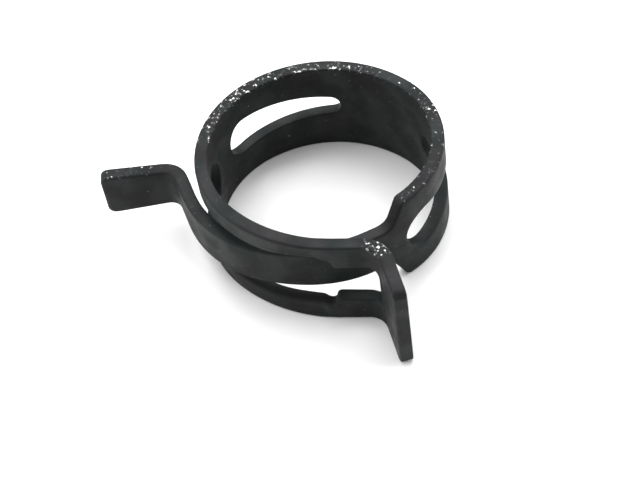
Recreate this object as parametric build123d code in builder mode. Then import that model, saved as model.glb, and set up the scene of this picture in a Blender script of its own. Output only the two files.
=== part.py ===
from build123d import *
import os
from math import cos, radians, sin

os.makedirs("parts", exist_ok=True)

# Spring-band hose clamp, relaxed. +Z is the bore axis, the origin is the bore centre at mid width,
# and the two squeeze tangs point to -X and -Y. Angles are degrees about +Z from +X. An angle along
# the band is that of its outward normal. Radii are those of the outward face.

# The strip
band_width = 12.0
thickness = 1.4
half_width = band_width / 2

# The ring: arcs that run smoothly into each other. The right one is a true circle about the origin.
right_radius = 10.6
back_radius = 14.1
left_radius = 11.8
leg_radius = 16.8
back_start = 43.0
back_end = 115.0
leg_start = 220.0
leg_end = 261.0

# Weight-relief windows: round ended slots, wide towards the tangs and narrow towards the back
left_narrow_radius = 1.25
left_wide_radius = 2.4
right_narrow_radius = 1.4
right_wide_radius = 2.65
right_window_wide = -45.0
right_window_narrow = 16.0
left_window_narrow = 81.5
left_window_wide = 131.0

# The fork: a long window between two legs, and the tang that joins their ends
fork_window_start = 175.5
fork_window_radius = 3.3
fork_window_half = 3.9
arm_start = 256.0
arm_step = 0.6
throat_half = 2.75
arm_length = 2.8
fork_bend_radius = 2.0
fork_bend_turn = 71.5
fork_bend_open = 46.0
fork_tang_length = 4.7

# The tongue: the narrow end that runs through the fork window
tongue_half = 2.6
shoulder_wide = -61.0
shoulder_narrow = -69.0
shoulder_fillet = 0.7
right_end = -70.0
tongue_straight = 2.2
tongue_start = 290.0
tongue_middle = 270.0
tongue_leave = 240.0
tongue_end = 195.0
tongue_near_radius = 13.8
tongue_far_radius = 16.3
tongue_exit_radius = 12.6
tongue_exit_straight = 2.9
tongue_bend_radius = 1.4
tongue_bend_turn = 75.0
tongue_tang_length = 6.7
tongue_tip_half = 2.9
tip_radius = 0.9

reach = 25.0  # longer than any cutter needs to be


def direction(angle):
    """Unit vector at an angle about +Z."""
    return Vector(cos(radians(angle)), sin(radians(angle)))


def next_centre(centre, radius, next_radius, angle):
    """Centre of the arc that carries on smoothly from another at this normal."""
    return centre + direction(angle) * (radius - next_radius)


def band_outline(arcs):
    """Plan outline of a stretch of band: arcs given as (centre, outward radius, start, end)."""
    for centre, radius, start, end in arcs:
        CenterArc(centre, radius, start, end - start)
        CenterArc(centre, radius - thickness, start, end - start)
    for centre, radius, angle in (arcs[0][:3], arcs[-1][:2] + arcs[-1][3:]):
        Line(centre + direction(angle) * radius, centre + direction(angle) * (radius - thickness))


def radial_plane(centre, angle):
    """Upright plane at an arc's centre that faces outwards at an angle."""
    return Plane(origin=centre, x_dir=direction(angle + 90), z_dir=direction(angle))


def rail(name, arcs, side, start_half, end_half):
    """One side of the band beside a window, whose half height runs evenly from start to end."""
    (first_centre, first_radius, start), (last_centre, last_radius, end) = arcs[0][:3], arcs[-1][:2] + arcs[-1][3:]
    facing = radial_plane(Vector(0, 0), (start + end) / 2)
    first = facing.to_local_coords(first_centre + direction(start) * first_radius).X
    last = facing.to_local_coords(last_centre + direction(end) * last_radius).X
    slope = (end_half - start_half) / (last - first)
    low, high = first - 2, last + 2
    low_half, high_half = start_half - 2 * slope, end_half + 2 * slope
    with BuildPart() as bar:
        with BuildSketch():
            with BuildLine():
                band_outline(arcs)
            make_face()
        extrude(amount=side * half_width)
        with BuildSketch(facing):
            with BuildLine():
                Polyline((low, -low_half), (high, -high_half), (high, high_half), (low, low_half), close=True)
            make_face()
        extrude(amount=reach, mode=Mode.SUBTRACT)
    bar.part.label = name
    export_step(bar.part, f"parts/{name}.step")


right_centre = Vector(0, 0)
back_centre = next_centre(right_centre, right_radius, back_radius, back_start)
left_centre = next_centre(back_centre, back_radius, left_radius, back_end)
leg_centre = next_centre(left_centre, left_radius, leg_radius, leg_start)

# Back of the band, full width, notched by the narrow ends of the two windows
with BuildPart() as back_band:
    with BuildSketch():
        with BuildLine():
            band_outline([
                (right_centre, right_radius, right_window_narrow, back_start),
                (back_centre, back_radius, back_start, left_window_narrow),
            ])
        make_face()
    extrude(amount=half_width, both=True)
    for centre, angle, radius in (
        (right_centre, right_window_narrow, right_narrow_radius),
        (back_centre, left_window_narrow, left_narrow_radius),
    ):
        with BuildSketch(radial_plane(centre, angle)):
            Circle(radius)
        extrude(amount=reach, mode=Mode.SUBTRACT)
back_band.part.label = "back_band"
export_step(back_band.part, "parts/back_band.step")

# Rails above and below each window, and the fork's two legs
left_arcs = [
    (back_centre, back_radius, left_window_narrow, back_end),
    (left_centre, left_radius, back_end, left_window_wide),
]
right_arcs = [(right_centre, right_radius, right_window_wide, right_window_narrow)]
leg_arcs = [
    (left_centre, left_radius, fork_window_start, leg_start),
    (leg_centre, leg_radius, leg_start, arm_start),
]
for word, side in (("upper", 1), ("lower", -1)):
    rail(f"left_window_{word}_rail", left_arcs, side, left_narrow_radius, left_wide_radius)
    rail(f"right_window_{word}_rail", right_arcs, side, right_wide_radius, right_narrow_radius)
    rail(f"fork_{word}_leg", leg_arcs, side, fork_window_radius, fork_window_half)

# Full-width bridge between the left window and the fork window
with BuildPart() as left_bridge:
    with BuildSketch():
        with BuildLine():
            band_outline([(left_centre, left_radius, left_window_wide, fork_window_start)])
        make_face()
    extrude(amount=half_width, both=True)
    for angle, radius in ((left_window_wide, left_wide_radius), (fork_window_start, fork_window_radius)):
        with BuildSketch(radial_plane(left_centre, angle)):
            Circle(radius)
        extrude(amount=reach, mode=Mode.SUBTRACT)
left_bridge.part.label = "left_bridge"
export_step(left_bridge.part, "parts/left_bridge.step")

# Fork tang: two arms that carry on from the legs, a bend outwards, and the full-width squeeze plate
arm_corner = leg_centre + direction(leg_end) * leg_radius
arm_heading = direction(leg_end + 90)
fork_bend_start = arm_corner + arm_heading * arm_length
fork_bend_centre = fork_bend_start + direction(leg_end) * fork_bend_radius
bend_first = leg_end - 180
bend_last = bend_first - fork_bend_turn
fork_bend_far = fork_bend_radius + thickness
fork_heading = direction(bend_last - 90)
with BuildPart() as fork_tang:
    with BuildSketch():
        with BuildLine():
            CenterArc(leg_centre, leg_radius, arm_start, leg_end - arm_start)
            CenterArc(leg_centre, leg_radius - thickness, arm_start, leg_end - arm_start)
            for inset, bend in ((0, fork_bend_radius), (thickness, fork_bend_far)):
                Line(arm_corner - direction(leg_end) * inset, fork_bend_start - direction(leg_end) * inset)
                CenterArc(fork_bend_centre, bend, bend_first, -fork_bend_turn)
                plate = fork_bend_centre + direction(bend_last) * bend
                Line(plate, plate + fork_heading * fork_tang_length)
            for centre, near, far, angle, along in (
                (leg_centre, leg_radius - thickness, leg_radius, arm_start, 0),
                (fork_bend_centre, fork_bend_radius, fork_bend_far, bend_last, fork_tang_length),
            ):
                end = centre + fork_heading * along
                Line(end + direction(angle) * near, end + direction(angle) * far)
        make_face()
    extrude(amount=half_width, both=True)
    step = arm_corner + arm_heading * (arm_step - 1.0)
    with BuildSketch():
        with BuildLine():
            Polyline(
                step - direction(leg_end) * 4,
                step + direction(leg_end) * 4,
                step + direction(leg_end) * 4 - arm_heading * 4,
                step - direction(leg_end) * 4 - arm_heading * 4,
                close=True,
            )
        make_face()
    extrude(amount=fork_window_half, both=True, mode=Mode.SUBTRACT)
    window_end = direction(bend_first - fork_bend_open)
    with BuildSketch():
        with BuildLine():
            Polyline(
                fork_bend_centre,
                fork_bend_centre + window_end * 6,
                fork_bend_centre - direction(leg_end) * 8,
                arm_corner - direction(leg_end) * 4 - arm_heading * 4,
                arm_corner + direction(leg_end) * 4 - arm_heading * 4,
                close=True,
            )
        make_face()
    extrude(amount=throat_half, both=True, mode=Mode.SUBTRACT)
fork_tang.part.label = "fork_tang"
export_step(fork_tang.part, "parts/fork_tang.step")

# Right shoulder: full width beyond the right window, then narrowed to the tongue
tongue_line = right_centre + direction(tongue_start) * right_radius
tongue_heading = direction(tongue_start - 90)
tongue_corner = tongue_line + tongue_heading * tongue_straight
shoulder_angle = (shoulder_wide + shoulder_narrow) / 2
shoulder_slant = right_radius * sin(radians((shoulder_wide - shoulder_narrow) / 2))
with BuildPart() as right_shoulder:
    with BuildSketch():
        with BuildLine():
            arc_angle = right_window_wide - right_end
            for inset in (0, thickness):
                CenterArc(right_centre, right_radius - inset, right_end, arc_angle)
                foot = direction(tongue_start) * inset
                Line(tongue_line - foot, tongue_corner - foot)
            far_foot = direction(tongue_start) * thickness
            Line(tongue_corner, tongue_corner - far_foot)
            wide = direction(right_window_wide)
            Line(right_centre + wide * right_radius, right_centre + wide * (right_radius - thickness))
        make_face()
    extrude(amount=half_width, both=True)
    with BuildSketch(radial_plane(right_centre, right_window_wide)):
        Circle(right_wide_radius)
    extrude(amount=reach, mode=Mode.SUBTRACT)
    with BuildSketch(radial_plane(right_centre, shoulder_angle)) as shoulder_shape:
        with BuildLine():
            Polyline(
                (10, half_width),
                (shoulder_slant, half_width),
                (-shoulder_slant, tongue_half),
                (-10, tongue_half),
                (-10, -tongue_half),
                (-shoulder_slant, -tongue_half),
                (shoulder_slant, -half_width),
                (10, -half_width),
                close=True,
            )
        make_face()
        slant_corners = shoulder_shape.vertices().filter_by(lambda corner: abs(corner.X) < 5)
        fillet(slant_corners, radius=shoulder_fillet)
    extrude(amount=reach, mode=Mode.INTERSECT)
right_shoulder.part.label = "right_shoulder"
export_step(right_shoulder.part, "parts/right_shoulder.step")

# Tongue: runs inside the fork's arms and then between its legs
near_centre = tongue_corner - direction(tongue_start) * tongue_near_radius
far_centre = next_centre(near_centre, tongue_near_radius, tongue_far_radius, tongue_middle)
with BuildPart() as tongue:
    with BuildSketch():
        with BuildLine():
            band_outline([
                (far_centre, tongue_far_radius, tongue_leave, tongue_middle),
                (near_centre, tongue_near_radius, tongue_middle, tongue_start),
            ])
        make_face()
    extrude(amount=tongue_half, both=True)
tongue.part.label = "tongue"
export_step(tongue.part, "parts/tongue.step")

# Tongue tang: leaves through the fork window, bends outwards and ends in the narrow squeeze plate
exit_centre = next_centre(far_centre, tongue_far_radius, tongue_exit_radius, tongue_leave)
exit_corner = exit_centre + direction(tongue_end) * tongue_exit_radius
exit_heading = direction(tongue_end - 90)
tongue_bend_start = exit_corner + exit_heading * tongue_exit_straight
tongue_bend_centre = tongue_bend_start + direction(tongue_end) * tongue_bend_radius
tongue_bend_first = tongue_end - 180
tongue_bend_last = tongue_bend_first + tongue_bend_turn
tongue_bend_far = tongue_bend_radius + thickness
plate_heading = direction(tongue_bend_last + 90)
with BuildPart() as tongue_tang:
    with BuildSketch():
        with BuildLine():
            for inset, bend in ((0, tongue_bend_radius), (thickness, tongue_bend_far)):
                foot = direction(tongue_end) * inset
                CenterArc(exit_centre, tongue_exit_radius - inset, tongue_end, tongue_leave - tongue_end)
                Line(exit_corner - foot, tongue_bend_start - foot)
                CenterArc(tongue_bend_centre, bend, tongue_bend_first, tongue_bend_turn)
                plate = tongue_bend_centre + direction(tongue_bend_last) * bend
                Line(plate, plate + plate_heading * tongue_tang_length)
            tip = tongue_bend_centre + plate_heading * tongue_tang_length
            across = direction(tongue_bend_last)
            Line(tip + across * tongue_bend_radius, tip + across * tongue_bend_far)
            leave = direction(tongue_leave)
            Line(exit_centre + leave * tongue_exit_radius, exit_centre + leave * (tongue_exit_radius - thickness))
        make_face()
    extrude(amount=tongue_tip_half, both=True)
    tip_x = tongue_tang.part.bounding_box().min.X
    flare_x = tip_x + tongue_tang_length
    with BuildSketch(Plane.XZ):
        with BuildLine():
            Polyline(
                (tip_x, tongue_tip_half),
                (flare_x, tongue_half),
                (reach, tongue_half),
                (reach, -tongue_half),
                (flare_x, -tongue_half),
                (tip_x, -tongue_tip_half),
                close=True,
            )
        make_face()
    extrude(amount=reach, both=True, mode=Mode.INTERSECT)
    fillet(tongue_tang.faces().sort_by(Axis.X)[0].edges().filter_by(Axis.Y), radius=tip_radius)
tongue_tang.part.label = "tongue_tang"
export_step(tongue_tang.part, "parts/tongue_tang.step")
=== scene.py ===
import math
import bpy
import numpy as np
from mathutils import Matrix, Vector


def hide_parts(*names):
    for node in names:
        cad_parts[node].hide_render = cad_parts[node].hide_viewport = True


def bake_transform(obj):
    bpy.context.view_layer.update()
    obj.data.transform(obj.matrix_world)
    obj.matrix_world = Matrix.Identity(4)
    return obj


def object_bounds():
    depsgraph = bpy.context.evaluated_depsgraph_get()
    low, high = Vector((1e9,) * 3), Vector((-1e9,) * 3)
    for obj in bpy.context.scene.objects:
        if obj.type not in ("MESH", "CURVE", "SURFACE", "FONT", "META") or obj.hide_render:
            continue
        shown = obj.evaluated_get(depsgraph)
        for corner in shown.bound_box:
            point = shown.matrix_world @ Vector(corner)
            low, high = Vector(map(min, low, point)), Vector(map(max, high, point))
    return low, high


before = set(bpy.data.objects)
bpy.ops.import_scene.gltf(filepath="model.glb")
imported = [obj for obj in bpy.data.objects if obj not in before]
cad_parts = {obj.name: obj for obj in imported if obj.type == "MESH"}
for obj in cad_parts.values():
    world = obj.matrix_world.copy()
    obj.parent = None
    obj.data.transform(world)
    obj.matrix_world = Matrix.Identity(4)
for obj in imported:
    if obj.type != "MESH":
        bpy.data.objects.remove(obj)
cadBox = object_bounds()  # before anything is hidden or added
metresPerMm = 0.001

# The clamp is one strip of spring steel. Everything about it is in mm and degrees, and the strip is
# described flat: "along" runs from the tip of the fork's tang to the tip of the tongue's tang, and "across"
# is 0 at mid width.
strip = {
    "thickness": 1.4,
    "halfWidth": 6.0,
    "tongueHalf": 2.6,
    "tongueTipHalf": 2.9,  # the tongue's plate widens to this at its tip
    "tongueDrop": 0.28,  # the tongue's plate sits this much lower than the ring
    "dropAfter": 1.5,  # the drop starts this far into the tongue's last straight
    "rootSpread": 0.28,  # the tongue is this much wider below at its root
    "rootFade": 20,  # degrees into the tongue's far arc where that width ends
    "outwardRound": 0.28,  # edges rolled over by the punch on the face away from the bore
    "inwardRound": 0.17,
    "step": 0.3,  # spacing of the columns that cross the strip
    "roundRows": 5,  # rows that draw one rounded edge
    "middleRows": 7,
    "tipLead": 0.9,  # how far columns lean away from a window's tip
    "bareReach": 3.0,  # stretch beside a window where columns straighten up again
}

# Each stretch: length of a straight or radius of an arc, then its turn. Plus turns away from the bore.
# Radii are those of the face away from the bore.
route = {
    "forkPlate": (4.7, 0.0),
    "forkBend": (2.0, 71.5),
    "forkArms": (2.8, 0.0),
    "forkLegs": (16.8, -41.0),
    "leftSide": (11.8, -105.0),
    "back": (14.1, -72.0),
    "rightSide": (10.6, -113.0),
    "tongueRoot": (2.2, 0.0),
    "tongueNear": (13.8, -20.0),
    "tongueFar": (16.3, -30.0),
    "tongueExit": (12.6, -45.0),
    "tongueStraight": (2.9, 0.0),
    "tongueBend": (1.4, 75.0),
    "tonguePlate": (6.55, 0.0),
}
rightStart = 43.0  # angle about the bore where the right side starts, as a circle about the origin

stretchNames = list(route)
stretchSizes = np.array([size for size, turn in route.values()])
stretchTurns = np.radians([turn for size, turn in route.values()])
stretchLengths = np.where(stretchTurns == 0, stretchSizes, stretchSizes * np.abs(stretchTurns))
stretchStarts = np.concatenate(([0.0], np.cumsum(stretchLengths)))
stretchCurves = stretchTurns / stretchLengths
stripLength = stretchStarts[-1]


# A straight or an arc in one formula: from its start, a chord leaves at half the angle turned so far, and is
# shorter than the distance run by the sine of that half angle over the half angle.
def chordOf(distance, curvature, heading):
    halfTurn = distance * curvature / 2
    chord = distance * np.sinc(halfTurn / math.pi)
    return np.stack((chord * np.cos(heading + halfTurn), chord * np.sin(heading + halfTurn)), axis=-1)


rightIndex = stretchNames.index("rightSide")
turnedSoFar = np.concatenate(([0.0], np.cumsum(stretchTurns)))[:-1]
stretchHeadings = turnedSoFar - turnedSoFar[rightIndex] + math.radians(rightStart - 90)
stretchCorners = np.concatenate((
    np.zeros((1, 2)),
    np.cumsum(chordOf(stretchLengths, stretchCurves, stretchHeadings), axis=0),
))
rightAngle = math.radians(rightStart)
rightCorner = stretchSizes[rightIndex] * np.array([math.cos(rightAngle), math.sin(rightAngle)])
stretchCorners += rightCorner - stretchCorners[rightIndex]

# Small sideways set of the fork's arms, from where the legs start: beside their window the legs dip towards
# the bore, and the arms step out again at a crease
armSet = {"dipStart": 8.1, "dipEnd": 2.4, "dip": -0.35, "creaseStart": 2.1, "creaseEnd": 1.1, "arms": -0.04,
          "fullTo": 4.2, "noneFrom": 6.0}


def smoothStep(value, low, high):
    share = np.clip((value - low) / (high - low), 0, 1)
    return share * share * (3 - 2 * share)


# Place and outward direction of the strip's face at distances along it, before any depth below that face
def placeAlong(along, across=6.0):
    index = np.clip(np.searchsorted(stretchStarts, along, side="right") - 1, 0, len(stretchNames) - 1)
    gone = along - stretchStarts[index]
    heading = stretchHeadings[index] + gone * stretchCurves[index]
    place = stretchCorners[index] + chordOf(gone, stretchCurves[index], stretchHeadings[index])
    outward = np.stack((-np.sin(heading), np.cos(heading)), axis=-1)
    beforeLegs = stretchStarts[stretchNames.index("forkLegs")] - along
    dip = armSet["dip"] * (1 - smoothStep(np.abs(across), armSet["fullTo"], armSet["noneFrom"]))
    dipped = smoothStep(beforeLegs, -armSet["dipStart"], -armSet["dipEnd"])
    stepped = smoothStep(beforeLegs, -armSet["creaseStart"], -armSet["creaseEnd"])
    sideways = dip * dipped + (armSet["arms"] - dip) * stepped
    return place + outward * sideways[..., None], outward


# Distance along the strip of a point some degrees into one of its arcs
def alongArc(name, degreesIn):
    index = stretchNames.index(name)
    return stretchStarts[index] + stretchSizes[index] * math.radians(degreesIn)


def arcPoints(centre, radius, first, last, gap=0.05):
    count = max(3, int(radius * abs(math.radians(last - first)) / gap) + 1)
    angles = np.radians(np.linspace(first, last, count))
    return np.column_stack((centre[0] + radius * np.cos(angles), centre[1] + radius * np.sin(angles)))


def linePoints(first, last, gap=0.05):
    count = max(3, int(math.dist(first, last) / gap) + 1)
    return np.linspace(first, last, count)


# A teardrop slot: two round ends and the line that touches both. Upper half, as three curves.
def slotCurves(firstPlace, firstRadius, lastPlace, lastRadius):
    touch = 90 - math.degrees(math.asin((firstRadius - lastRadius) / (lastPlace - firstPlace)))
    start = arcPoints((firstPlace, 0), firstRadius, 180, touch)
    end = arcPoints((lastPlace, 0), lastRadius, touch, 0)
    return [start, linePoints(start[-1], end[0]), end]


leftWindow = {
    "wideRadius": 2.4, "wide": alongArc("leftSide", 89),
    "narrowRadius": 1.25, "narrow": alongArc("back", 33.5),
    "lift": 0.25,  # it was pierced a little above mid width
    "liftFade": 3.0,
}
rightWindow = {
    "wideRadius": 2.65, "wide": alongArc("rightSide", 88),
    "narrowRadius": 1.4, "narrow": alongArc("rightSide", 27),
}
forkWindow = {
    "end": alongArc("forkBend", 25.5),  # straight end, part way round the fork's bend
    "throatHalf": 2.75,
    "throatCorner": 0.9,
    "step": alongArc("forkArms", 0) + 3.2,  # where the throat opens to the legs
    "stepHalf": 2.65,  # half width of the throat there
    "stepCorner": 0.6,
    "legCorner": 0.65,
    "legHalf": 3.9,
    "roundRadius": 3.3,
    "round": alongArc("leftSide", 44.5),
}


def forkWindowCurves():
    w = forkWindow
    corner = w["throatCorner"]
    end = np.concatenate((
        linePoints((w["end"], 0), (w["end"], w["throatHalf"] - corner)),
        arcPoints((w["end"] + corner, w["throatHalf"] - corner), corner, 180, 90)[1:],
    ))
    stepCorner, legCorner = w["stepCorner"], w["legCorner"]
    step = np.concatenate((
        arcPoints((w["step"] - stepCorner, w["stepHalf"] + stepCorner), stepCorner, -90, 0),
        arcPoints((w["step"] + legCorner, w["legHalf"] - legCorner), legCorner, 180, 91),
    ))
    roundEnd = arcPoints((w["round"], 0), w["roundRadius"], 88.5, 0)
    return [end, linePoints(end[-1], step[0]), step, linePoints(step[-1], roundEnd[0]), roundEnd]


windows = [
    forkWindowCurves(),
    slotCurves(leftWindow["wide"], leftWindow["wideRadius"],
               leftWindow["narrow"], leftWindow["narrowRadius"]),
    slotCurves(rightWindow["narrow"], rightWindow["narrowRadius"],
               rightWindow["wide"], rightWindow["wideRadius"]),
]

# Outer edge of the strip: rounded tips, and the shoulder where the right side narrows to the tongue
tips = {"forkCorner": 0.85, "tongueCorner": 0.9}
shoulder = {
    "wide": alongArc("rightSide", 104), "wideFillet": 0.7,
    "narrow": alongArc("rightSide", 112.8), "narrowFillet": 1.6,
}


def outerEdgePoints():
    full, slim = strip["halfWidth"], strip["tongueHalf"]
    slant = math.degrees(math.atan2(full - slim, shoulder["narrow"] - shoulder["wide"]))
    wideRadius, narrowRadius = shoulder["wideFillet"], shoulder["narrowFillet"]
    halfSlant = math.tan(math.radians(slant / 2))
    wideBack, narrowBack = wideRadius * halfSlant, narrowRadius * halfSlant
    forkCorner, tongueCorner = tips["forkCorner"], tips["tongueCorner"]
    forkTip = arcPoints((forkCorner, full - forkCorner), forkCorner, 180, 90)
    wideFillet = arcPoints((shoulder["wide"] - wideBack, full - wideRadius), wideRadius, 90, 90 - slant)
    narrowCentre = (shoulder["narrow"] + narrowBack, slim + narrowRadius)
    narrowFillet = arcPoints(narrowCentre, narrowRadius, 270 - slant, 270)
    flare = (alongArc("tonguePlate", 0), slim)
    tipCentre = (stripLength - tongueCorner, strip["tongueTipHalf"] - tongueCorner)
    tongueTip = arcPoints(tipCentre, tongueCorner, 90, 0)
    return np.concatenate((
        forkTip,
        linePoints(forkTip[-1], wideFillet[0])[1:-1],
        wideFillet,
        linePoints(wideFillet[-1], narrowFillet[0])[1:-1],
        narrowFillet,
        linePoints(narrowFillet[-1], flare)[1:-1],
        linePoints(flare, tongueTip[0])[:-1],
        tongueTip,
    ))


def lengthsAlong(points):
    return np.concatenate(([0.0], np.cumsum(np.linalg.norm(np.diff(points, axis=0), axis=1))))


def pointsAt(points, lengths, wanted):
    return np.column_stack([np.interp(wanted, lengths, points[:, axis]) for axis in (0, 1)])


outerEdge = outerEdgePoints()
outerLengths = lengthsAlong(outerEdge)
roundShares = 1 - np.cos(np.linspace(0, math.pi / 2, strip["roundRows"]))
roundGaps = roundShares * strip["outwardRound"]


# Shares of a span where columns stand: even, but close together beside a cut edge, to draw its rounding
def columnShares(length, edgeAtStart, edgeAtEnd):
    even = np.linspace(0, length, max(3, math.ceil(length / strip["step"]) + 1))
    clear = strip["outwardRound"] + strip["step"] / 3
    if edgeAtStart:
        even = np.concatenate((roundGaps, even[even > clear]))
    if edgeAtEnd:
        even = np.concatenate((even[even < length - clear], (length - roundGaps)[::-1]))
    return even / length


# The columns: each is a line from the inner edge of the upper half (mid width, or a window's rim) to the
# strip's outer edge. Both ends step evenly along their curves, between places where they are level.
def columnEnds():
    spans, place, outerPlace = [], 0.0, 0.0
    lead, reach = strip["tipLead"], strip["bareReach"]
    for curves in windows + [None]:
        tip = stripLength if curves is None else curves[0][0, 0]
        tipOuter = stripLength if curves is None else tip - lead
        straighten = min(reach, (tip - place) / 2)
        levels = [(place, outerPlace), (place + straighten, place + straighten)]
        if tip - place > 2 * reach:
            levels.append((tip - straighten, tip - straighten))
        levels.append((tip, tipOuter))
        for index, ((a, outerA), (b, outerB)) in enumerate(zip(levels[:-1], levels[1:])):
            atEnds = (index == 0, index == len(levels) - 2)
            spans.append((linePoints((a, 0), (b, 0)), outerA, outerB, False, *atEnds))
        if curves is None:
            break
        outerStops = [tipOuter] + [curve[-1, 0] for curve in curves[:-1]] + [curves[-1][-1, 0] + lead]
        for curve, outerA, outerB in zip(curves, outerStops[:-1], outerStops[1:]):
            spans.append((curve, outerA, outerB, True, False, False))
        place, outerPlace = curves[-1][-1, 0], outerStops[-1]
    inner, outer, isOpen = [], [], []
    for curve, outerA, outerB, onRim, edgeAtStart, edgeAtEnd in spans:
        lengths = lengthsAlong(curve)
        outerRange = np.interp([outerA, outerB], outerEdge[:, 0], outerLengths)
        if onRim:
            count = math.ceil(max(lengths[-1], outerRange[1] - outerRange[0]) / (strip["step"] * 0.8)) + 1
            shares = np.linspace(0, 1, count)
        else:
            shares = columnShares(lengths[-1], edgeAtStart, edgeAtEnd)
        inner.append(pointsAt(curve, lengths, shares * lengths[-1])[:-1])
        outerWanted = outerRange[0] + shares * (outerRange[1] - outerRange[0])
        outer.append(pointsAt(outerEdge, outerLengths, outerWanted)[:-1])
        isOpen.append(np.full(len(shares) - 1, onRim))
        if onRim:
            isOpen[-1][0] = inner[-1][0, 1] > 1e-6
    inner.append(np.array([[stripLength, 0.0]]))
    outer.append(outerEdge[-1:])
    isOpen.append(np.array([False]))
    return np.concatenate(inner), np.concatenate(outer), np.concatenate(isOpen)


innerEnds, outerEnds, openColumns = columnEnds()


# Rows along each column: close together at both ends, for the rounded edges, and even between. Where a column
# meets an edge at a slant, its rows are spread by the slant, so that they reach the same depth from the edge.
def flatGrid():
    run = outerEnds - innerEnds
    length = np.linalg.norm(run, axis=1)
    heading = run / length[:, None]

    def slantOf(ends, flat):
        tangent = np.gradient(ends, axis=0)
        tangent /= np.linalg.norm(tangent, axis=1)[:, None]
        slant = np.abs(heading[:, 0] * tangent[:, 1] - heading[:, 1] * tangent[:, 0])
        return np.where(flat, 1.0, np.clip(slant, 0.4, 1.0))

    innerRows = roundGaps[None, :] / slantOf(innerEnds, ~openColumns)[:, None]
    outerSlant = slantOf(outerEnds, np.zeros(len(length), bool))
    outerRows = length[:, None] - roundGaps[None, ::-1] / outerSlant[:, None]
    share = np.linspace(0, 1, strip["middleRows"] + 2)[None, 1:-1]
    middle = innerRows[:, -1:] * (1 - share) + outerRows[:, :1] * share
    rows = np.concatenate((innerRows, middle, outerRows), axis=1)
    return innerEnds[:, None, :] + heading[:, None, :] * rows[:, :, None]


grid = flatGrid()
rims = [np.concatenate(curves) for curves in windows]
cuts = rims + [
    outerEdge,
    linePoints((0, 0), outerEdge[0]),
    linePoints(outerEdge[-1], (stripLength, 0)),
]


# Distance in the flat from each grid point to the nearest cut edge: to the nearest point of every short
# piece of those edges, a block of columns at a time
def distanceToCuts(points, block=24, reach=9):
    starts = np.concatenate([cut[:-1] for cut in cuts])
    runs = np.concatenate([np.diff(cut, axis=0) for cut in cuts])
    solid = (runs ** 2).sum(axis=1) > 1e-12
    starts, runs = starts[solid], runs[solid]
    squares = (runs ** 2).sum(axis=1)
    result = np.empty(points.shape[:2])
    for first in range(0, len(points), block):
        some = points[first:first + block].reshape(-1, 2)
        near = np.abs(starts[:, 0] - some[:, 0].mean()) < reach
        away = some[:, None, :] - starts[near][None]
        share = np.clip((away * runs[near][None]).sum(axis=2) / squares[near][None], 0, 1)
        gap = away - runs[near][None] * share[..., None]
        result[first:first + block] = np.sqrt((gap ** 2).sum(axis=2).min(axis=1)).reshape(-1, points.shape[1])
    return result


edgeGaps = distanceToCuts(grid)


# Depth below the face of an edge rounded to a quarter circle, by the distance from that edge
def roundedDepth(gap, radius):
    return radius - np.sqrt(np.maximum(radius ** 2 - (radius - np.minimum(gap, radius)) ** 2, 0))


# Wear: stretches of the upper edge where the black skin is rubbed or chipped through, as (from, to, amount).
# A large amount leaves mostly bare steel, and a small one a few specks. The finish's noise places each speck.
wear = {
    "edgeStretches": [
        (alongArc("forkBend", 15), alongArc("forkBend", 60), 0.5),
        (alongArc("leftSide", 55), alongArc("back", 30), 0.38),
        (alongArc("back", 35), alongArc("back", 60), 0.34),
        (alongArc("back", 60), alongArc("rightSide", 100), 0.22),
        (alongArc("rightSide", 20), alongArc("rightSide", 35), 0.4),
        (alongArc("tongueBend", 45), stripLength, 0.3),
    ],
    "edgeReach": 0.35,
}


# The most that any stretch gives: full on the upper edge inside the stretch, less by the bell curve of the
# distance over the reach
def wornAmount(along, across):
    worn = np.zeros(np.shape(along))
    edge = np.where(along < shoulder["wide"], strip["halfWidth"], strip["tongueHalf"])
    for start, end, amount in wear["edgeStretches"]:
        past = np.maximum(np.maximum(start - along, along - end), 0)
        away = np.hypot(past, np.maximum(edge - across, 0))
        worn = np.maximum(worn, amount * np.exp(-(away / wear["edgeReach"]) ** 2))
    return worn


print("strip laid out:", len(innerEnds), "columns,", grid.shape[1], "rows")


# How far points sit from the level that the flat strip gives them: up by the left window's lift, full at mid
# width and none at the edges, down by the tongue plate's drop, and down at the tongue root's lower edge
def levelShift(along, across):
    fade = leftWindow["liftFade"]
    start = leftWindow["wide"] - leftWindow["wideRadius"]
    end = leftWindow["narrow"] + leftWindow["narrowRadius"]
    beside = smoothStep(along, start - fade, start) * (1 - smoothStep(along, end, end + fade))
    lift = leftWindow["lift"] * beside * (1 - (across / strip["halfWidth"]) ** 2)
    dropStart = alongArc("tongueStraight", 0) + strip["dropAfter"]
    drop = strip["tongueDrop"] * smoothStep(along, dropStart, alongArc("tonguePlate", 0))
    atRoot = smoothStep(along, alongArc("tongueRoot", 0), alongArc("tongueNear", 0))
    rootEnd = alongArc("tongueFar", strip["rootFade"])
    atRoot = atRoot * (1 - smoothStep(along, alongArc("tongueNear", 0), rootEnd))
    return lift - drop - strip["rootSpread"] * atRoot * smoothStep(-across, 0, strip["tongueHalf"])


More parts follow.
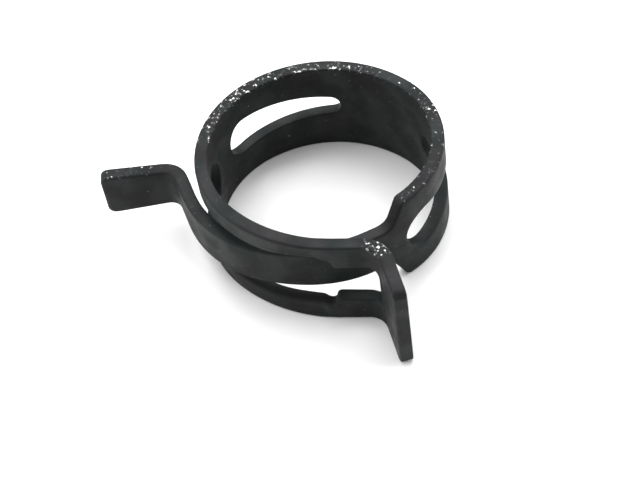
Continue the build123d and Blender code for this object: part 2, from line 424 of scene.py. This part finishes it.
# A stretch of the strip as a closed mesh. Upper and lower halves are the grid and its mirror image, each with
# a face away from the bore and a face towards it. Walls close the cut edges, and caps close the two ends.
def stripPiece(name, firstColumn, lastColumn):
    flat = grid[firstColumn:lastColumn + 1]
    gaps = edgeGaps[firstColumn:lastColumn + 1]
    onRim = openColumns[firstColumn:lastColumn + 1]
    place, outward = placeAlong(flat[..., 0], flat[..., 1])
    inwardDepth = strip["thickness"] - roundedDepth(gaps, strip["inwardRound"])
    depths = (roundedDepth(gaps, strip["outwardRound"]), inwardDepth)
    sheets = []
    for side in (1, -1):
        for depth in depths:
            plan = place - outward * depth[..., None]
            level = side * flat[..., 1]
            level = level + levelShift(flat[..., 0], level)
            sheets.append(np.concatenate((plan, level[..., None]), axis=2))
    columns, rows = flat.shape[:2]
    corners = np.concatenate([sheet.reshape(-1, 3) for sheet in sheets])
    numbers = np.arange(len(corners)).reshape(4, columns, rows)
    numbers[2:, ~onRim, 0] = numbers[:2, ~onRim, 0]  # the halves share the mid line where no window is

    quads = []

    def addQuads(a, b, c, d, flip):
        loop = (a, d, c, b) if flip else (a, b, c, d)
        quads.append(np.stack([part.ravel() for part in loop], axis=1))

    for upper, (front, rear) in ((True, numbers[:2]), (False, numbers[2:])):
        for sheet, flip in ((front, upper), (rear, not upper)):
            addQuads(sheet[:-1, :-1], sheet[1:, :-1], sheet[1:, 1:], sheet[:-1, 1:], flip)
        addQuads(front[:-1, -1], front[1:, -1], rear[1:, -1], rear[:-1, -1], upper)
        rim = onRim[:-1] | onRim[1:]
        addQuads(front[:-1, 0][rim], front[1:, 0][rim], rear[1:, 0][rim], rear[:-1, 0][rim], not upper)
        addQuads(front[0, :-1], front[0, 1:], rear[0, 1:], rear[0, :-1], upper)
        addQuads(front[-1, :-1], front[-1, 1:], rear[-1, 1:], rear[-1, :-1], not upper)
    faces = np.concatenate(quads)
    used, faces = np.unique(faces, return_inverse=True)
    faces = faces.reshape(-1, 4)

    mesh = bpy.data.meshes.new(name)
    mesh.vertices.add(len(used))
    mesh.vertices.foreach_set("co", (corners[used] * metresPerMm).astype(np.float32).ravel())
    mesh.loops.add(faces.size)
    mesh.loops.foreach_set("vertex_index", faces.astype(np.int32).ravel())
    mesh.polygons.add(len(faces))
    mesh.polygons.foreach_set("loop_start", np.arange(0, faces.size, 4, dtype=np.int32))
    mesh.update(calc_edges=True)
    mesh.shade_smooth()
    mesh.set_sharp_from_angle(angle=math.radians(50))

    # What the finish needs to know of each point: where it was before any bending, and how rubbed it is
    restPlace = mesh.attributes.new("restPlace", "FLOAT_VECTOR", "POINT")
    restPlace.data.foreach_set("vector", corners[used].astype(np.float32).ravel())
    worn = mesh.attributes.new("worn", "FLOAT", "POINT")
    alongs = np.tile(flat[..., 0].ravel(), 4)[used]
    worn.data.foreach_set("value", wornAmount(alongs, corners[used][:, 2]).astype(np.float32))

    piece = bpy.data.objects.new(name, mesh)
    bpy.context.collection.objects.link(piece)
    return piece


# The strip is cut, out of sight, half way between the places where it bends. Each entry lists the one stretch
# of its piece where the bending lies.
stripPieces = [
    # name, end of the stretch, bodies at its two ends, where the bending lies, CAD nodes it stands for
    {"name": "forkTang", "until": alongArc("leftSide", 4), "bodies": ("fork_end", "fork_legs"),
     "bend": (alongArc("forkLegs", 0), alongArc("leftSide", 3)), "nodes": ("fork_tang",)},
    {"name": "forkLegs", "until": alongArc("leftSide", 67.2), "bodies": ("fork_legs", "bridge"),
     "bend": (alongArc("leftSide", 5), alongArc("leftSide", 66)),
     "nodes": ("fork_upper_leg", "fork_lower_leg")},
    {"name": "leftBridge", "until": alongArc("back", 10), "bodies": ("bridge", "left_rails"),
     "bend": (alongArc("leftSide", 68.5), alongArc("back", 9)), "nodes": ("left_bridge",)},
    {"name": "leftBack", "until": alongArc("back", 67), "bodies": ("left_rails", "back"),
     "bend": (alongArc("back", 11), alongArc("back", 66)),
     "nodes": ("back_band", "left_window_upper_rail", "left_window_lower_rail")},
    {"name": "rightBack", "until": alongArc("rightSide", 57.5), "bodies": ("back", "right_rails"),
     "bend": (alongArc("back", 68), alongArc("rightSide", 56)),
     "nodes": ("right_window_upper_rail", "right_window_lower_rail")},
    {"name": "rightShoulder", "until": alongArc("rightSide", 106), "bodies": ("right_rails", "shoulder"),
     "bend": (alongArc("rightSide", 59), alongArc("rightSide", 101)), "nodes": ("right_shoulder",)},
    {"name": "tongueRun", "until": alongArc("tongueFar", 5), "bodies": ("shoulder", "tongue_run"),
     "bend": (alongArc("rightSide", 111), alongArc("tongueFar", 4)), "nodes": ("tongue",)},
    {"name": "tongueTang", "until": stripLength, "bodies": ("tongue_run", "tongue_end"),
     "bend": (alongArc("tongueFar", 6), alongArc("tongueExit", 30)), "nodes": ("tongue_tang",)},
]


def makeStrip():
    first = 0
    pieces = []
    for entry in stripPieces:
        last = int(np.argmin(np.abs(innerEnds[:, 0] - entry["until"])))
        piece = stripPiece(entry["name"], first, last)
        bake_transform(piece)
        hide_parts(*entry["nodes"])
        pieces.append(piece)
        first = last
    return pieces


clampPieces = makeStrip()
faceCount = sum(len(piece.data.polygons) for piece in clampPieces)
print("strip made:", len(clampPieces), "pieces,", faceCount, "faces")


# sRGB hex to the linear colour that shaders use
def linearColour(hexCode):
    shares = [int(hexCode[index:index + 2], 16) / 255 for index in (1, 3, 5)]
    return tuple(s / 12.92 if s <= 0.04045 else ((s + 0.055) / 1.055) ** 2.4 for s in shares) + (1.0,)


# Adds a node with its settings and what feeds its inputs: a value, or another node's output
def addNode(tree, kind, settings=None, inputs=None):
    node = tree.nodes.new(kind)
    for key, value in (settings or {}).items():
        setattr(node, key, value)
    for key, value in (inputs or {}).items():
        if isinstance(value, bpy.types.NodeSocket):
            tree.links.new(value, node.inputs[key])
        else:
            node.inputs[key].default_value = value
    return node


# Phosphated spring steel with a black zinc-flake dip: a dull, slightly grainy charcoal skin, cloudy where
# the dip dried unevenly, greenish in places, and rubbed through to bright steel in small specks along the
# cut edges
springSteelFinish = {
    "dark": "#101112",
    "light": "#1a1c1d",
    "cool": "#141e1c",
    "warm": "#1b171b",
    "bare": "#d8d8d4",
    "rubbed": "#55585a",  # thin skin around bare specks
    "rubbedShare": 0.6,
    "tintShare": 0.45,
    "grainShare": 0.35,
    "wornShare": 0.36,  # how far full wear raises the speck noise
    "roughness": (0.48, 0.66),
    "bareRoughness": 0.35,
    "specular": 0.17,  # the dip scatters more than it mirrors
    "cloudMm": 3.2,
    "tintMm": 5.0,
    "grainMm": 0.16,  # phosphate crystals are 0.01 mm: drawn coarser, to show
    "speckMm": 0.42,
    "grainDepth": 0.00001,
    "unevenMm": 1.6,
    "unevenDepth": 0.00003,
}


def phosphatedSpringSteel():
    look = springSteelFinish
    material = bpy.data.materials.new("phosphatedSpringSteel")
    material.use_nodes = True
    tree = material.node_tree
    tree.nodes.clear()
    smooth = {"interpolation_type": "SMOOTHSTEP"}
    place = addNode(tree, "ShaderNodeAttribute", {"attribute_name": "restPlace"}).outputs["Vector"]
    worn = addNode(tree, "ShaderNodeAttribute", {"attribute_name": "worn"}).outputs["Fac"]
    clouds = addNode(tree, "ShaderNodeTexNoise", None, {
        "Vector": place, "Scale": 1 / look["cloudMm"], "Detail": 4.0,
    }).outputs["Fac"]
    tints = addNode(tree, "ShaderNodeTexNoise", None, {
        "Vector": place, "Scale": 1 / look["tintMm"], "Detail": 2.0,
    }).outputs["Fac"]
    grain = addNode(tree, "ShaderNodeTexNoise", None, {
        "Vector": place, "Scale": 1 / look["grainMm"], "Detail": 2.0, "Roughness": 0.6,
    }).outputs["Fac"]
    specks = addNode(tree, "ShaderNodeTexNoise", None, {
        "Vector": place, "Scale": 1 / look["speckMm"], "Detail": 3.0, "Roughness": 0.62,
    }).outputs["Fac"]
    uneven = addNode(tree, "ShaderNodeTexNoise", None, {
        "Vector": place, "Scale": 1 / look["unevenMm"], "Detail": 3.0,
    }).outputs["Fac"]

    # the skin: clouds of light and dark, a greenish or warm tint, and grain
    cloud = addNode(tree, "ShaderNodeMapRange", smooth, {
        "Value": clouds, "From Min": 0.35, "From Max": 0.68,
    }).outputs["Result"]
    tint = addNode(tree, "ShaderNodeMapRange", smooth, {
        "Value": tints, "From Min": 0.4, "From Max": 0.62,
    }).outputs["Result"]
    charcoal = addNode(tree, "ShaderNodeMix", {"data_type": "RGBA"}, {
        0: cloud, 6: linearColour(look["dark"]), 7: linearColour(look["light"]),
    }).outputs[2]
    tinted = addNode(tree, "ShaderNodeMix", {"data_type": "RGBA"}, {
        0: tint, 6: linearColour(look["cool"]), 7: linearColour(look["warm"]),
    }).outputs[2]
    skin = addNode(tree, "ShaderNodeMix", {"data_type": "RGBA"}, {
        0: look["tintShare"], 6: charcoal, 7: tinted,
    }).outputs[2]
    grainShare = addNode(tree, "ShaderNodeMapRange", smooth, {
        "Value": grain, "From Min": 0.3, "From Max": 0.75, "To Max": look["grainShare"],
    }).outputs["Result"]
    grainy = addNode(tree, "ShaderNodeMix", {"data_type": "RGBA"}, {
        0: grainShare, 6: skin, 7: linearColour(look["light"]),
    }).outputs[2]

    # bare where the wear and the specks add up, with thin skin around
    chance = addNode(tree, "ShaderNodeMath", {"operation": "MULTIPLY_ADD"}, {
        0: worn, 1: look["wornShare"], 2: specks,
    }).outputs[0]
    rubbedShare = addNode(tree, "ShaderNodeMapRange", smooth, {
        "Value": chance, "From Min": 0.64, "From Max": 0.78, "To Max": look["rubbedShare"],
    }).outputs["Result"]
    rubbed = addNode(tree, "ShaderNodeMix", {"data_type": "RGBA"}, {
        0: rubbedShare, 6: grainy, 7: linearColour(look["rubbed"]),
    }).outputs[2]
    bare = addNode(tree, "ShaderNodeMapRange", smooth, {
        "Value": chance, "From Min": 0.74, "From Max": 0.82,
    }).outputs["Result"]
    colour = addNode(tree, "ShaderNodeMix", {"data_type": "RGBA"}, {
        0: bare, 6: rubbed, 7: linearColour(look["bare"]),
    }).outputs[2]
    skinRoughness = addNode(tree, "ShaderNodeMapRange", None, {
        "Value": cloud, "To Min": look["roughness"][1], "To Max": look["roughness"][0],
    }).outputs["Result"]
    roughness = addNode(tree, "ShaderNodeMapRange", None, {
        "Value": bare, "To Min": skinRoughness, "To Max": look["bareRoughness"],
    }).outputs["Result"]

    wavy = addNode(tree, "ShaderNodeBump", None, {
        "Strength": 1.0, "Distance": look["unevenDepth"], "Height": uneven,
    }).outputs["Normal"]
    bumpy = addNode(tree, "ShaderNodeBump", None, {
        "Strength": 1.0, "Distance": look["grainDepth"], "Height": grain, "Normal": wavy,
    }).outputs["Normal"]
    shader = addNode(tree, "ShaderNodeBsdfPrincipled", None, {
        "Base Color": colour, "Metallic": bare, "Roughness": roughness, "Normal": bumpy,
        "Specular IOR Level": look["specular"],
    })
    addNode(tree, "ShaderNodeOutputMaterial", None, {"Surface": shader.outputs["BSDF"]})
    return material


stripMaterial = phosphatedSpringSteel()
for piece in clampPieces:
    piece.data.materials.append(stripMaterial)
print("finish made")

# Plain pale floor, matt paint, that carries on past the view
floorSettings = {"halfSide": 0.6, "colour": "#f2f2f2", "roughness": 0.9, "clear": 0.00002}


def makeFloor():
    low = cadBox[0].z - floorSettings["clear"]
    half = floorSettings["halfSide"]
    mesh = bpy.data.meshes.new("floor")
    corners = [(-half, -half, low), (half, -half, low), (half, half, low), (-half, half, low)]
    mesh.from_pydata(corners, [], [(0, 1, 2, 3)])
    floor = bpy.data.objects.new("floor", mesh)
    bpy.context.collection.objects.link(floor)
    material = bpy.data.materials.new("paleMattPaint")
    material.use_nodes = True
    shader = material.node_tree.nodes["Principled BSDF"]
    shader.inputs["Base Color"].default_value = linearColour(floorSettings["colour"])
    shader.inputs["Roughness"].default_value = floorSettings["roughness"]
    shader.inputs["Specular IOR Level"].default_value = 0.1
    mesh.materials.append(material)


makeFloor()

# Soft studio light: a dim room, a large panel overhead towards the back, and one at each side
lights = {
    "room": 0.47,
    "panels": [
        {"name": "overheadPanel", "place": (0.0, 0.22, 0.42), "size": 0.6, "power": 4.7},
        {"name": "leftPanel", "place": (-0.5, 0.0, 0.2), "size": 0.4, "power": 2.0},
        {"name": "rightPanel", "place": (0.5, 0.05, 0.2), "size": 0.4, "power": 2.0},
    ],
}


def makeLights():
    world = bpy.data.worlds.new("brightRoom")
    bpy.context.scene.world = world
    world.use_nodes = True
    world.node_tree.nodes["Background"].inputs["Color"].default_value = (1.0, 1.0, 1.0, 1.0)
    world.node_tree.nodes["Background"].inputs["Strength"].default_value = lights["room"]
    for panel in lights["panels"]:
        light = bpy.data.lights.new(panel["name"], "AREA")
        light.size = panel["size"]
        light.energy = panel["power"]
        lamp = bpy.data.objects.new(panel["name"], light)
        lamp.location = panel["place"]
        lamp.rotation_euler = (-Vector(panel["place"])).to_track_quat("-Z", "Y").to_euler()
        bpy.context.collection.objects.link(lamp)


makeLights()

# The camera looks down past the front of the clamp, from close by, and is held slightly tilted
cameraSettings = {
    "place": (0.000491, -0.114891, 0.140025),
    "aim": (-0.0035487, -0.0077313, 0.0),
    "roll": -9.552,
    "lens": 96.53,
    "sensor": 36.0,
}


def makeCamera():
    data = bpy.data.cameras.new("camera")
    data.lens = cameraSettings["lens"]
    data.sensor_width = cameraSettings["sensor"]
    data.clip_start = 0.01
    camera = bpy.data.objects.new("camera", data)
    place, aim = Vector(cameraSettings["place"]), Vector(cameraSettings["aim"])
    turn = (aim - place).to_track_quat("-Z", "Y").to_matrix()
    roll = Matrix.Rotation(math.radians(cameraSettings["roll"]), 3, "Z")
    camera.matrix_world = Matrix.Translation(place) @ (turn @ roll).to_4x4()
    bpy.context.collection.objects.link(camera)
    bpy.context.scene.camera = camera


makeCamera()
bpy.context.scene.view_settings.view_transform = "Standard"

print("scene ready")
